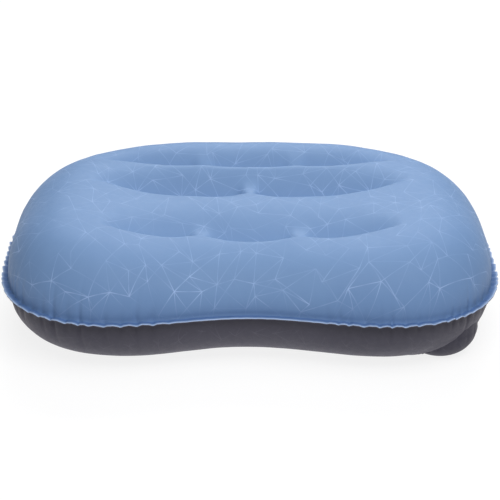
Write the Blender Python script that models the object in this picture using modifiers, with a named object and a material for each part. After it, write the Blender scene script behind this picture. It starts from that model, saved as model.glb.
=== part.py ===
"""Inflatable camping pillow, inflated and lying on its dark side.

Two fabric panels are welded round the edge. Eight film baffles inside tie them together and draw
valleys in both. A hand pump sits under the front right corner, and a capped release valve in the
lower panel at the rear left. Metres, +Z up, front at -Y, resting on Z = 0.
"""

import math

import bmesh
import bpy
import numpy as np
from mathutils import Matrix, Vector
from mathutils.bvhtree import BVHTree

# Plan of the weld line: a front and a back superellipse half, the front drawn in for the neck
HALF_WIDTH = 0.210
FRONT_DEPTH = 0.1356
BACK_DEPTH = 0.1699
FRONT_POWER = 2.97
BACK_POWER = 2.84
NECK_DEPTH = 0.0311
NECK_WIDTH = 0.111
PLAN_Y = -0.0256  # where the two halves meet, so that the flange is centred on the origin
FLANGE_WIDTH = 0.0055

# Inflated section
FABRIC = 0.0010
GAP = 0.0003
SEAM_Z = 0.0522
SECTION_POWER = 2.35
UPPER_ROUND = 0.0783
LOWER_ROUND = 0.0674
MIDDLE_RISE = 0.0478
SIDE_RISE = 0.0591
BACK_RISE = 0.0608

# Mesh of the panels
STATIONS = 36
RINGS = 13
RING_CROWDING = 1.4  # above 1 crowds the rings towards the weld line
SPINE_SHARE = 0.52
SPINE_REACH = 0.19
SPINE_Y = -0.0024

# Welds of the baffles: for each row its y, and for each strip (x from, x to)
BAFFLE_ROWS = {
    "front": (-0.0698, {"left": (-0.118, -0.052), "middle": (-0.033, 0.033), "right": (0.052, 0.118)}),
    "middle": (0.0182, {"left": (-0.132, -0.013), "right": (0.013, 0.132)}),
    "rear": (0.0692, {"left": (-0.145, -0.052), "middle": (-0.033, 0.033), "right": (0.052, 0.145)}),
}
UPPER_VALLEY = (0.016, 0.033)  # depth and half width
LOWER_VALLEY = (0.006, 0.020)
FILM = 0.0008
TAB = 0.006
BAFFLE_STEP = 0.010
BAFFLE_GAP = 0.0012  # film to fabric, as the panels are faceted
FEELER = (0.006, 0.004)  # how far round a point a baffle feels for the nearest fabric

# Hand pump, on a vertical axis
PUMP_X = 0.1619
PUMP_Y = -0.0893
DOME_RADIUS = 0.0330
DOME_CENTRE_Z = 0.0244
DOME_DEPTH = 0.0270
DOME_POWER = 2.2
DOME_RIM_Z = 0.0190
DOME_FLAT_Z = 0.0006  # the dome's underside is flattened just above the ground
DOME_SOFTNESS = 0.0007
DOME_TOP_REACH = 0.022
CUP_RADIUS = 0.0345
CUP_TOP = 0.0214
CUP_HOLE = 0.0349
VALVE_HOLE = 0.0063
VALVE_COLLAR = 0.0060
VALVE_BORE = 0.0035
VALVE_FLANGE = 0.0090
VALVE_FLANGE_THICK = 0.0009
FLAP_RADIUS = 0.0050
FLAP_THICK = 0.0008
FLAP_HINGE = 0.0078
FLAP_TAB = 0.0022
FOAM_INNER = 0.0120
FOAM_INSET = 0.004  # foam to the dome's outer wall

# Release valve, on the sloping wall of the lower panel
RELEASE_X = -0.120
RELEASE_INSET = 0.008
RELEASE_BORE = 0.0070
RELEASE_COLLAR = 0.0095
RELEASE_FLANGE = 0.0140
RELEASE_HOLE = 0.0099
RELEASE_FLANGE_DEPTH = 0.0080
RELEASE_COLLAR_TOP = 0.0020
RELEASE_FLANGE_THICK = 0.0012
CAP_RADIUS = 0.0120
CAP_THICK = 0.0018
CAP_ROUND = 0.0005
CAP_CLEAR = 0.0010  # cap over the collar, where the seal sits
CAP_HINGE = 0.0140
PLUG_DEPTH = 0.0025
PLUG_CLEAR = 0.0003
PLUG_TAPER = 0.0008
TAB_HALF = 0.004
TAB_ROOT = 0.009
TAB_REACH = 0.016
TAB_THICK = 0.0012
SEAL_THICK = 0.0007
SEAL_CLEAR = 0.00015
STRAP_WIDTH = 0.005
STRAP_HALF = 0.0004
STRAP_LOW = 0.0008
STRAP_INSET = 0.0012  # middle of the strap's loop, in from the cap's hinge
SLOPE_REACH = 0.002  # how far either side the slope of the wall is read

ROUND_STEPS = 32
CUTTER_REACH = 0.005  # how far a cutter stands out of the fabric


# ---- Shape of the pillow -------------------------------------------------------------------

def half_edge(x, depth, power):
    """How far the weld line is from the plan's meeting line, and the share of the way round."""
    share = np.clip(1 - np.abs(x / HALF_WIDTH) ** power, 0, 1)
    return depth * share ** (1 / power), share


def front_edge(x):
    reach, share = half_edge(x, FRONT_DEPTH, FRONT_POWER)
    return PLAN_Y - reach + NECK_DEPTH * np.exp(-((x / NECK_WIDTH) ** 2)) * share


def back_edge(x):
    return PLAN_Y + half_edge(x, BACK_DEPTH, BACK_POWER)[0]


def edge_stations():
    """x of the stations, spaced evenly along the weld line."""
    x = HALF_WIDTH * np.sin(np.linspace(-math.pi / 2, math.pi / 2, 4001))
    steps = [np.hypot(np.diff(x), np.diff(edge(x))) for edge in (front_edge, back_edge)]
    along = np.concatenate([[0], np.cumsum(sum(steps))])
    return np.interp(np.linspace(0, along[-1], STATIONS + 1), along, x)


def weld_line():
    """Plan points of the weld line, anticlockwise from the left end along the front."""
    x = edge_stations()
    front = np.stack([x, front_edge(x)], 1)
    back = np.stack([x, back_edge(x)], 1)[-2:0:-1]
    return np.concatenate([front, back])


def spine_point(edge):
    x = SPINE_SHARE * np.clip(edge[:, 0], -SPINE_REACH, SPINE_REACH)
    return np.stack([x, np.full(len(x), SPINE_Y)], 1)


def outward(line):
    """Unit normals of a closed anticlockwise plan line."""
    run = np.roll(line, -1, 0) - np.roll(line, 1, 0)
    return np.stack([run[:, 1], -run[:, 0]], 1) / np.linalg.norm(run, axis=1)[:, None]


def smooth(low, high, value):
    t = np.clip((value - low) / (high - low), 0, 1)
    return t * t * (3 - 2 * t)


def section(distance, radius):
    """Share of the full height at a distance inside the weld line."""
    left = 1 - np.clip(distance / radius, 0, 1)
    return (1 - left**SECTION_POWER) ** (1 / SECTION_POWER)


def valley(x, y, depth_and_width):
    depth, width = depth_and_width
    share = np.zeros_like(x)
    for row_y, strips in BAFFLE_ROWS.values():
        for start, end in strips.values():
            past = np.maximum(np.maximum(start - x, x - end), 0)
            near = np.clip(1 - np.hypot(past, y - row_y) / width, 0, 1)
            share = np.maximum(share, near**2)
    return depth * share


def upper_z(x, y, distance):
    side = smooth(0.060, 0.175, np.abs(x))
    back = smooth(0.012, 0.102, y) * (1 - side)
    rise = MIDDLE_RISE + (SIDE_RISE - MIDDLE_RISE) * side + (BACK_RISE - MIDDLE_RISE) * back
    base = SEAM_Z + GAP / 2 + FABRIC
    return base + (rise - valley(x, y, UPPER_VALLEY)) * section(distance, UPPER_ROUND)


def lower_z(x, y, distance):
    base = SEAM_Z - GAP / 2 - FABRIC
    share = section(distance, LOWER_ROUND)
    return base * (1 - share) + valley(x, y, LOWER_VALLEY) * share


def lower_wall_frame(x, inset):
    """Frame on the lower panel's wall behind station x: +X up the slope, +Z out of the fabric."""
    edge = np.array([[x, float(back_edge(np.array(x)))]])
    inward = (spine_point(edge) - edge)[0]
    inward /= np.linalg.norm(inward)

    def point(distance):
        px, py = edge[0] + inward * distance
        z = lower_z(np.array(px), np.array(py), np.array(distance))
        return Vector((px, py, float(z)))

    slope = (point(inset - SLOPE_REACH) - point(inset + SLOPE_REACH)).normalized()
    tangent = Vector((inward[1], -inward[0], 0)).normalized()
    normal = slope.cross(tangent)
    if normal.z > 0:
        tangent, normal = -tangent, -normal
    frame = Matrix((slope, normal.cross(slope), normal)).transposed().to_4x4()
    frame.translation = point(inset)
    return frame


# ---- Blender helpers -----------------------------------------------------------------------

def new_collection(name):
    collection = bpy.data.collections.new(name)
    bpy.context.scene.collection.children.link(collection)
    return collection


def new_material(name, colour, roughness, metallic=0.0):
    material = bpy.data.materials.new(name)
    material.use_nodes = True
    shader = material.node_tree.nodes["Principled BSDF"]
    shader.inputs["Base Color"].default_value = (*colour, 1)
    shader.inputs["Roughness"].default_value = roughness
    shader.inputs["Metallic"].default_value = metallic
    return material


def new_object(name, data, collection, material=None, parent=None, at=(0, 0, 0)):
    thing = bpy.data.objects.new(name, data)
    collection.objects.link(thing)
    if material:
        data.materials.append(material)
    thing.parent = parent
    thing.location = at
    return thing


def guide(thing):
    thing.hide_render = True
    thing.display_type = "WIRE"
    return thing


def mesh_from(name, points, faces):
    mesh = bpy.data.meshes.new(name)
    mesh.from_pydata([tuple(p) for p in points], [], faces)
    mesh.validate()
    return mesh


def weld_doubles(mesh, distance=1e-6):
    bm = bmesh.new()
    bm.from_mesh(mesh)
    bmesh.ops.remove_doubles(bm, verts=bm.verts, dist=distance)
    bmesh.ops.dissolve_degenerate(bm, dist=distance, edges=bm.edges)
    bm.to_mesh(mesh)
    bm.free()


def turned(name, profile, collection, material=None, parent=None, at=(0, 0, 0), closed=True):
    """A profile of (radius, z), down its outer side, turned about Z."""
    count = len(profile)
    edges = [(i, (i + 1) % count) for i in range(count if closed else count - 1)]
    mesh = bpy.data.meshes.new(name)
    mesh.from_pydata([(r, 0, z) for r, z in profile], edges, [])
    thing = new_object(name, mesh, collection, material, parent, at)
    screw = thing.modifiers.new("turn", "SCREW")
    screw.axis = "Z"
    screw.steps = ROUND_STEPS
    screw.render_steps = ROUND_STEPS
    screw.use_merge_vertices = True
    screw.merge_threshold = 1e-5
    screw.use_smooth_shade = True
    return thing


def plate(name, outline, thickness, collection, material=None, parent=None, at=(0, 0, 0)):
    """A flat outline of (x, y), centred on Z, of the thickness given."""
    curve = bpy.data.curves.new(name, "CURVE")
    curve.dimensions = "2D"
    curve.fill_mode = "BOTH"
    curve.extrude = thickness / 2
    spline = curve.splines.new("POLY")
    spline.points.add(len(outline) - 1)
    for point, (x, y) in zip(spline.points, outline):
        point.co = (x, y, 0, 1)
    spline.use_cyclic_u = True
    return new_object(name, curve, collection, material, parent, at)


def boolean(thing, other, operation):
    cut = thing.modifiers.new(other.name, "BOOLEAN")
    cut.operation = operation
    cut.object = other
    cut.solver = "EXACT"


def cylinder(name, radius, low, high, collection, parent=None, at=(0, 0, 0)):
    mesh = bpy.data.meshes.new(name)
    bm = bmesh.new()
    move = Matrix.Translation((0, 0, (low + high) / 2))
    bmesh.ops.create_cone(bm, cap_ends=True, segments=ROUND_STEPS, radius1=radius, radius2=radius,
                          depth=high - low, matrix=move)
    bm.to_mesh(mesh)
    bm.free()
    return guide(new_object(name, mesh, collection, parent=parent, at=at))


# ---- Panels --------------------------------------------------------------------------------

def panel_rings(height):
    """Rings of points from the flange's cut edge in to the spine."""
    edge = weld_line()
    spine = spine_point(edge)
    length = np.linalg.norm(edge - spine, axis=1)
    flange = edge + outward(edge) * FLANGE_WIDTH
    rings = [np.column_stack([flange, height(flange[:, 0], flange[:, 1], np.zeros(len(edge)))])]
    for share in np.linspace(0, 1, RINGS) ** RING_CROWDING:
        plan = edge + (spine - edge) * share
        rings.append(np.column_stack([plan, height(plan[:, 0], plan[:, 1], length * share)]))
    return rings


def panel_mesh(name, height, faces_up):
    rings = panel_rings(height)
    around = len(rings[0])
    faces = []
    for ring in range(len(rings) - 1):
        for i in range(around):
            j = (i + 1) % around
            quad = (ring * around + i, ring * around + j, (ring + 1) * around + j, (ring + 1) * around + i)
            faces.append(quad if faces_up else quad[::-1])
    mesh = mesh_from(name, np.concatenate(rings), faces)
    weld_doubles(mesh)
    mesh.shade_smooth()
    return mesh


def panel(name, height, faces_up, collection, material):
    thing = new_object(name, panel_mesh(name, height, faces_up), collection, material)
    thick = thing.modifiers.new("fabric", "SOLIDIFY")
    thick.thickness = FABRIC
    thick.offset = -1
    thick.use_even_offset = True
    return thing


def lower_envelope(collection):
    """The space under the weld line as one closed solid, which trims the pump's cup."""
    rings = panel_rings(lower_z)[1:]
    around = len(rings[0])
    faces = [tuple(range(around))]
    for ring in range(len(rings) - 1):
        for i in range(around):
            j = (i + 1) % around
            quad = (ring * around + i, ring * around + j, (ring + 1) * around + j, (ring + 1) * around + i)
            faces.append(quad[::-1])
    mesh = mesh_from("lower_envelope", np.concatenate(rings), faces)
    weld_doubles(mesh)
    return guide(new_object("lower_envelope", mesh, collection))


# ---- Baffles -------------------------------------------------------------------------------

def surface_tree(thing):
    graph = bpy.context.evaluated_depsgraph_get()
    return BVHTree.FromObject(thing, graph)


def nearest_fabric(tree, x, y, up):
    """Height of the fabric nearest the seam's level, above or below it, round a point."""
    found = []
    for dx in (-FEELER[0], 0, FEELER[0]):
        for dy in (-FEELER[1], 0, FEELER[1]):
            hit = tree.ray_cast(Vector((x + dx, y + dy, SEAM_Z)), Vector((0, 0, up)))[0]
            found.append(hit.z)
    return (min(found) if up > 0 else max(found)) - up * BAFFLE_GAP


def baffle_section(upper, lower, x, y):
    """I-shaped section: a web, and a tab along the fabric at its top and its bottom."""
    top = [nearest_fabric(upper, x, y + dy, 1) for dy in (-TAB, 0, TAB)]
    low = [nearest_fabric(lower, x, y + dy, -1) for dy in (-TAB, 0, TAB)]
    web = FILM / 2
    outline = [
        (-TAB, top[0]), (-TAB, top[0] - FILM), (-web, top[1] - FILM), (-web, low[1] + FILM),
        (-TAB, low[0] + FILM), (-TAB, low[0]), (0, low[1]), (TAB, low[2]), (TAB, low[2] + FILM),
        (web, low[1] + FILM), (web, top[1] - FILM), (TAB, top[2] - FILM), (TAB, top[2]), (0, top[1]),
    ]
    return [(x, y + dy, z) for dy, z in outline]


def baffle(name, y, start, end, upper, lower, collection, material):
    stations = np.linspace(start, end, round((end - start) / BAFFLE_STEP) + 1)
    sections = [baffle_section(upper, lower, float(x), y) for x in stations]
    around = len(sections[0])
    faces = [tuple(range(around))[::-1], tuple(range((len(sections) - 1) * around, len(sections) * around))]
    for s in range(len(sections) - 1):
        for i in range(around):
            j = (i + 1) % around
            faces.append((s * around + i, s * around + j, (s + 1) * around + j, (s + 1) * around + i))
    mesh = mesh_from(name, [p for sec in sections for p in sec], faces)
    bm = bmesh.new()
    bm.from_mesh(mesh)
    bmesh.ops.recalc_face_normals(bm, faces=bm.faces)
    bmesh.ops.triangulate(bm, faces=bm.faces)
    bm.to_mesh(mesh)
    bm.free()
    return new_object(name, mesh, collection, material)


# ---- Hand pump -----------------------------------------------------------------------------

def dome_z(radius):
    """Outer height of the dome: a superellipse, flattened softly underneath."""
    share = (1 - (radius / DOME_RADIUS) ** DOME_POWER) ** (1 / DOME_POWER)
    above = DOME_CENTRE_Z - DOME_DEPTH * share - DOME_FLAT_Z
    return DOME_FLAT_Z + DOME_SOFTNESS * math.log1p(math.exp(above / DOME_SOFTNESS))


def pump_dome(collection, material):
    """Fabric dome with a turned-in rim on top and a hole for the intake valve."""
    rim_top = DOME_RIM_Z + FABRIC
    share = (DOME_CENTRE_Z - DOME_RIM_Z) / DOME_DEPTH
    rim_radius = DOME_RADIUS * (1 - share**DOME_POWER) ** (1 / DOME_POWER)
    angles = np.linspace(math.pi / 2, 0, 10)
    radii = [VALVE_HOLE + (rim_radius - VALVE_HOLE) * math.sin(a) for a in angles]
    profile = [(DOME_TOP_REACH, rim_top), (rim_radius - FABRIC, rim_top)]
    profile += [(r, dome_z(r)) for r in radii]
    thing = turned("pump_dome", profile, collection, material, at=(PUMP_X, PUMP_Y, 0), closed=False)
    thick = thing.modifiers.new("fabric", "SOLIDIFY")
    thick.thickness = FABRIC
    thick.offset = -1
    thick.use_even_offset = True
    return thing


def pump_foam(collection, material):
    clear = FABRIC + 3 * GAP
    radii = np.linspace(DOME_RADIUS - FOAM_INSET, FOAM_INNER, 6)
    top = DOME_RIM_Z - GAP * 2
    profile = [(FOAM_INNER, CUP_TOP - FABRIC - GAP), (DOME_TOP_REACH - 2 * GAP, CUP_TOP - FABRIC - GAP),
               (DOME_TOP_REACH - 2 * GAP, top), (radii[0], top)]
    profile += [(float(r), dome_z(float(r) + clear) + clear) for r in radii]
    return turned("pump_foam", profile, collection, material, at=(PUMP_X, PUMP_Y, 0))


def pump_base(collection, material, cutters):
    """Film cup with its mouth down, trimmed where it would stand out of the pillow."""
    inner = CUP_RADIUS - FABRIC
    under = CUP_TOP - FABRIC
    profile = [(VALVE_HOLE, CUP_TOP), (CUP_RADIUS, CUP_TOP), (CUP_RADIUS, FABRIC), (inner, FABRIC),
               (inner, under), (VALVE_HOLE, under)]
    thing = turned("pump_base", profile, collection, material, at=(PUMP_X, PUMP_Y, 0))
    boolean(thing, lower_envelope(cutters), "INTERSECT")
    return thing


def valve_ring(name, flange_z, collar_low, collection, material):
    """Moulded ring: a flange on the fabric, and a collar down through its hole."""
    top = flange_z + VALVE_FLANGE_THICK
    profile = [(VALVE_BORE, top), (VALVE_FLANGE, top), (VALVE_FLANGE, flange_z), (VALVE_COLLAR, flange_z),
               (VALVE_COLLAR, collar_low), (VALVE_BORE, collar_low)]
    turned(name, profile, collection, material, at=(PUMP_X, PUMP_Y, 0))
    return top


def valve_flap(name, seat_z, collection, material):
    """Disc with a tab to its hinge, which lies behind it, along X."""
    start = math.asin(FLAP_TAB / FLAP_RADIUS)
    angles = np.linspace(math.pi / 2 + start, 2.5 * math.pi - start, 25)
    outline = [(FLAP_RADIUS * math.cos(a), FLAP_RADIUS * math.sin(a) - FLAP_HINGE) for a in angles]
    outline += [(FLAP_TAB, 0.0), (-FLAP_TAB, 0.0)]
    hinge = (PUMP_X, PUMP_Y + FLAP_HINGE, seat_z + GAP + FLAP_THICK / 2)
    plate(name, outline, FLAP_THICK, collection, material, at=hinge)


def pump(collection, materials, cutters):
    pump_base(collection, materials["film"], cutters)
    pump_dome(collection, materials["lower_fabric"])
    pump_foam(collection, materials["foam"])
    intake_low = dome_z(VALVE_HOLE)
    intake_seat = valve_ring("intake_valve_body", intake_low + FABRIC + 2 * GAP, intake_low, collection,
                             materials["moulding"])
    valve_flap("intake_flap", intake_seat, collection, materials["silicone"])
    transfer_seat = valve_ring("transfer_valve_body", CUP_TOP + GAP, CUP_TOP - FABRIC - GAP, collection,
                               materials["moulding"])
    valve_flap("transfer_flap", transfer_seat, collection, materials["silicone"])


# ---- Release valve -------------------------------------------------------------------------

def release_body(collection, material, frame):
    low = -RELEASE_FLANGE_DEPTH
    shelf = low + RELEASE_FLANGE_THICK
    profile = [(RELEASE_BORE, RELEASE_COLLAR_TOP), (RELEASE_COLLAR, RELEASE_COLLAR_TOP),
               (RELEASE_COLLAR, shelf), (RELEASE_FLANGE, shelf), (RELEASE_FLANGE, low), (RELEASE_BORE, low)]
    turned("release_valve_body", profile, collection, material, frame)


def release_cap(collection, material, hinge, cutters):
    """Round cap with a tapered plug, and a tab for a finger away from the hinge."""
    under = RELEASE_COLLAR_TOP + CAP_CLEAR
    top = under + CAP_THICK
    root = RELEASE_BORE - PLUG_CLEAR
    tip = root - PLUG_TAPER
    profile = [(0, top), (CAP_RADIUS - CAP_ROUND, top), (CAP_RADIUS, top - CAP_ROUND), (CAP_RADIUS, under),
               (root, under), (tip, -PLUG_DEPTH), (0, -PLUG_DEPTH)]
    at = (-CAP_HINGE, 0, -hinge.location.z)
    cap = turned("release_cap", profile, collection, material, hinge, at, closed=False)
    outline = [(TAB_HALF - TAB_REACH + TAB_HALF * math.cos(a), TAB_HALF * math.sin(a))
               for a in np.linspace(math.pi / 2, 1.5 * math.pi, 9)]
    outline += [(-TAB_ROOT, -TAB_HALF), (-TAB_ROOT, TAB_HALF)]
    tab = plate("release_cap_tab", outline, TAB_THICK, cutters, parent=hinge)
    mesh = bpy.data.meshes.new_from_object(tab.evaluated_get(bpy.context.evaluated_depsgraph_get()))
    bpy.data.objects.remove(tab)
    weld_doubles(mesh, 1e-5)
    solid_tab = guide(new_object("release_cap_tab", mesh, cutters, parent=hinge))
    solid_tab.location = (-CAP_HINGE, 0, top - CAP_CLEAR - hinge.location.z)
    boolean(cap, solid_tab, "UNION")


def release_seal(collection, material, hinge):
    low = RELEASE_COLLAR_TOP + SEAL_CLEAR
    high = low + SEAL_THICK
    inner, outer = RELEASE_BORE + SEAL_CLEAR, RELEASE_COLLAR - GAP
    profile = [(inner, high), (outer, high), (outer, low), (inner, low)]
    turned("release_seal", profile, collection, material, hinge, (-CAP_HINGE, 0, -hinge.location.z))


def release_strap(collection, material, frame, hinge_z):
    """Living hinge: a loop from the collar's side, out and back to the cap's edge."""
    centre_x, start_x, end_x = CAP_HINGE - STRAP_INSET, RELEASE_COLLAR + GAP, CAP_RADIUS + GAP
    loop = (hinge_z - STRAP_LOW) / 2
    mid_z = STRAP_LOW + loop
    arcs = []
    for radius, angles in ((loop + STRAP_HALF, np.linspace(-math.pi / 2, math.pi / 2, 9)),
                           (loop - STRAP_HALF, np.linspace(math.pi / 2, -math.pi / 2, 9))):
        arcs.append([(centre_x + radius * math.cos(a), mid_z + radius * math.sin(a)) for a in angles])
    outline = [(start_x, STRAP_LOW - STRAP_HALF)] + arcs[0]
    outline += [(end_x, hinge_z + STRAP_HALF), (end_x, hinge_z - STRAP_HALF)]
    outline += arcs[1] + [(start_x, STRAP_LOW + STRAP_HALF)]
    strap = plate("release_strap", outline, STRAP_WIDTH, collection, material, frame)
    strap.rotation_euler = (math.pi / 2, 0, 0)


def release_valve(collection, materials, cutters):
    frame = bpy.data.objects.new("release_frame", None)
    collection.objects.link(frame)
    frame.matrix_world = lower_wall_frame(RELEASE_X, RELEASE_INSET)
    hinge = bpy.data.objects.new("release_hinge", None)
    collection.objects.link(hinge)
    hinge.parent = frame
    hinge_z = RELEASE_COLLAR_TOP + CAP_CLEAR + CAP_THICK / 2
    hinge.location = (CAP_HINGE, 0, hinge_z)
    bpy.context.view_layer.update()
    release_body(collection, materials["moulding"], frame)
    release_cap(collection, materials["moulding"], hinge, cutters)
    release_seal(collection, materials["silicone"], hinge)
    release_strap(collection, materials["moulding"], frame, hinge_z)
    return frame


# ---- The pillow ----------------------------------------------------------------------------

def make_materials():
    return {
        "upper_fabric": new_material("upper_fabric", (0.27, 0.42, 0.66), 0.6),
        "lower_fabric": new_material("lower_fabric", (0.075, 0.072, 0.095), 0.65),
        "film": new_material("film", (0.62, 0.64, 0.66), 0.35),
        "foam": new_material("foam", (0.55, 0.54, 0.50), 0.95),
        "moulding": new_material("moulding", (0.045, 0.045, 0.055), 0.45),
        "silicone": new_material("silicone", (0.60, 0.62, 0.64), 0.4),
    }


def main():
    for thing in list(bpy.data.objects):
        bpy.data.objects.remove(thing)
    pillow = new_collection("camp_pillow")
    cutters = new_collection("cutters")
    materials = make_materials()

    upper = panel("upper_panel", upper_z, True, pillow, materials["upper_fabric"])
    lower = panel("lower_panel", lower_z, False, pillow, materials["lower_fabric"])
    bpy.context.view_layer.update()
    upper_tree, lower_tree = surface_tree(upper), surface_tree(lower)
    for row, (y, strips) in BAFFLE_ROWS.items():
        for side, (start, end) in strips.items():
            baffle(f"baffle_{row}_{side}", y, start, end, upper_tree, lower_tree, pillow, materials["film"])

    pump(pillow, materials, cutters)
    frame = release_valve(pillow, materials, cutters)
    pump_hole = cylinder("pump_hole", CUP_HOLE, -CUTTER_REACH, CUP_TOP + GAP, cutters, at=(PUMP_X, PUMP_Y, 0))
    release_hole = cylinder("release_hole", RELEASE_HOLE, -CUTTER_REACH, CUTTER_REACH, cutters, parent=frame)
    boolean(lower, pump_hole, "DIFFERENCE")
    boolean(lower, release_hole, "DIFFERENCE")


main()
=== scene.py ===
"""Looks for the inflatable camping pillow: printed fabric panels, pump dome, valves, stage and camera.

Metres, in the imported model's frame: +Z up, front at -Y, resting on Z = 0.
"""

import math

import bmesh
import bpy
import numpy as np
from mathutils import Matrix, Vector, noise
from mathutils.bvhtree import BVHTree

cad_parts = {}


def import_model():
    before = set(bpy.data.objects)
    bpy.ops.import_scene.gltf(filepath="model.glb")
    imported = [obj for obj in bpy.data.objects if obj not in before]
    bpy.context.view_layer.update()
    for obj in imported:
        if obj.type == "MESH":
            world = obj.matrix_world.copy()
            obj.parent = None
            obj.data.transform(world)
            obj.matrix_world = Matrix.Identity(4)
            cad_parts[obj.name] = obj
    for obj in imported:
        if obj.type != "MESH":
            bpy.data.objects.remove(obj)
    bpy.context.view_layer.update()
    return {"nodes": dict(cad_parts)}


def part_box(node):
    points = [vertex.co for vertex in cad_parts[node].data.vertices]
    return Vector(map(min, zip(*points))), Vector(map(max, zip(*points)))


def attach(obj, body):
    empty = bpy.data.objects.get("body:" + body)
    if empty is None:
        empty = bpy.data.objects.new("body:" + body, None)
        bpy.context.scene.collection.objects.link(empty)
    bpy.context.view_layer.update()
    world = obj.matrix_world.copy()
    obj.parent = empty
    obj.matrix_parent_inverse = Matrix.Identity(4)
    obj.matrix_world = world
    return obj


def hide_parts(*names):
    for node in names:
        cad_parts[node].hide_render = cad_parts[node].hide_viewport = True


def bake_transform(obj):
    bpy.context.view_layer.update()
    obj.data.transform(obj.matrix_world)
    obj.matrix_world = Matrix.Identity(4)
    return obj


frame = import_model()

NODES = frame["nodes"]

# ---- Sizes: those of the part, and of the pieces that stand for its soft solids --------------

HALF_WIDTH = 0.210
FRONT_DEPTH = 0.1356
BACK_DEPTH = 0.1699
FRONT_POWER = 2.97
BACK_POWER = 2.84
NECK_DEPTH = 0.0311
NECK_WIDTH = 0.111
PLAN_Y = -0.0256
FLANGE_WIDTH = 0.0055
SEAM_Z = 0.0522
SECTION_POWER = 2.35
UPPER_ROUND = 0.0783
LOWER_ROUND = 0.0674
MIDDLE_RISE = 0.0478
SIDE_RISE = 0.0591
BACK_RISE = 0.0608
SPINE_SHARE = 0.52
SPINE_REACH = 0.19
SPINE_Y = -0.0024
BAFFLE_ROWS = {
    "front": (-0.0698, {"left": (-0.118, -0.052), "middle": (-0.033, 0.033), "right": (0.052, 0.118)}),
    "middle": (0.0182, {"left": (-0.132, -0.013), "right": (0.013, 0.132)}),
    "rear": (0.0692, {"left": (-0.145, -0.052), "middle": (-0.033, 0.033), "right": (0.052, 0.145)}),
}
DOME_RADIUS = 0.0330
DOME_CENTRE_Z = 0.0244
DOME_DEPTH = 0.0270
DOME_POWER = 2.2
DOME_FLAT_Z = 0.0006
PUMP_HOLE = 0.0323
CUP_RADIUS = 0.0345
CUP_COVER = 0.0011  # how far the panel goes down round the cup, to pass under its rim
CUP_COVER_SPAN = (0.0007, 0.0065)  # past the cup's wall, where that fades
DOME_SOFTNESS = 0.0007
DOME_SKIRT_LEAST = 0.0195  # the lowest that the top of the dome's wall may be
DOME_SKIRT_PAST = 0.0015  # how far the wall goes on past the lower panel
DOME_FOLD = 0.0006

PART_LAYER = 0.00115  # half the seam's gap and one layer of fabric in the part
RELEASE_X = -0.120
RELEASE_INSET = 0.008
SLOPE_REACH = 0.002
RELEASE_COLLAR = 0.0095
RELEASE_FLANGE = 0.0140
CAP_RADIUS = 0.0120
CAP_HINGE = 0.0140
STRAP_WIDTH = 0.005
STRAP_LOW = 0.0008
STRAP_INSET = 0.0012
STRAP_HIGH = 0.0039  # the hinge's height over the fabric
STRAP_HALF_THICK = 0.00038
STRAP_SQUARENESS = 0.35
FOAM_TOP = 0.0199
FOAM_HOLE = 0.0122
FOAM_EDGE = 0.0008
FOAM_UNDER = 0.0021  # foam over the dome's fabric
VALVE_OPENING = 0.0061  # radius of the dome's hole for the intake valve

# Fabric, finer than the collision model
SKIN = 0.00055  # one layer of coated fabric
LAYER_GAP = 0.00005
UPPER_VALLEY = {"front": 0.0225, "middle": 0.0190, "rear": 0.0190}
LOWER_VALLEY = {"front": 0.006, "middle": 0.006, "rear": 0.006}
# how far a valley reaches before the weld, and behind it
UPPER_WIDTHS = {"front": (0.0158, 0.060), "middle": (0.022, 0.040), "rear": (0.019, 0.046)}
LOWER_WIDTHS = {"front": (0.024, 0.024), "middle": (0.024, 0.024), "rear": (0.024, 0.024)}
LIP_POWER = 2.0
SLOPE_POWER = 1.9
ROW_REACH = 1.01
WELD_BAND = 0.0020  # half the width of a weld, where the valley is flat
LENS_POWER = 2.1
LENS_LEAST = 0.05
FADE_REACH = 1.08
FADE_POWERS = (4.0, 1.4)
GAP_WIDTH = 0.0085
BRIDGE = {"front": 0.62, "middle": 0.62, "rear": 0.25}  # share of the depth that the fabric rises at a gap
BRIDGE_DEPTH = 0.016
PINCH = {"front": 0.42, "middle": 0.42, "rear": 0.15}
PINCH_WIDTH = 0.017
FILM = 0.0004
BAFFLE_TAB = 0.0045
BAFFLE_STEP = 0.004
BAFFLE_CLEAR = 0.0009
STATIONS = 1200
RINGS = 84
CROWDING = 1.85
HALVINGS = (0.24, 0.62)  # shares of the way in where every second station ends
PUCKER_PITCH = (0.0070, 0.0165)
PUCKER_DEPTH = 0.0016
PUCKER_LIFT = 0.0011
PUCKER_REACH = 0.0100
PUCKER_FADE = 1.3
CREASE_DEPTHS = (0.10, 1.30)
CREASE_REACHES = (0.55, 1.7)
PITCH_DRAWS = 400
WAVE_SHARE = 0.55  # share of the seam's wave that the fabric beside it takes
WAVE_REACH = 0.009
SCALLOP = 0.0008
SIDE_SPAN = (0.060, 0.175)  # |x| over which the top rises to its height at the sides
BACK_SPAN = (0.012, 0.102)  # y over which it rises to its height at the back
UPPER_PROUD = 0.0010
UNEVEN_WIDE = (0.035, 7, 0.0005)  # size, seed and height of the fabric's slow unevenness
UNEVEN_FINE = (0.013, 3, 0.00016)

# Rings round one layer of the flange: share of its width, share of its thickness, and how pale it is, as a
# paler cut edge with a painted highlight on it
FLANGE = ((0.0, 0, 0.0), (0.5, 0, 0.0), (0.97, 0, 1.0), (1.0, 0.15, 1.0), (1.0, 0.85, 1.0),
          (0.97, 1, 0.8), (0.7, 1, 0.12), (0.45, 1, 0.0), (0.2, 1, 0.0))

PRINT_PITCH = 0.0190
LINE_HALF_WIDTH = 0.00030

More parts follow.
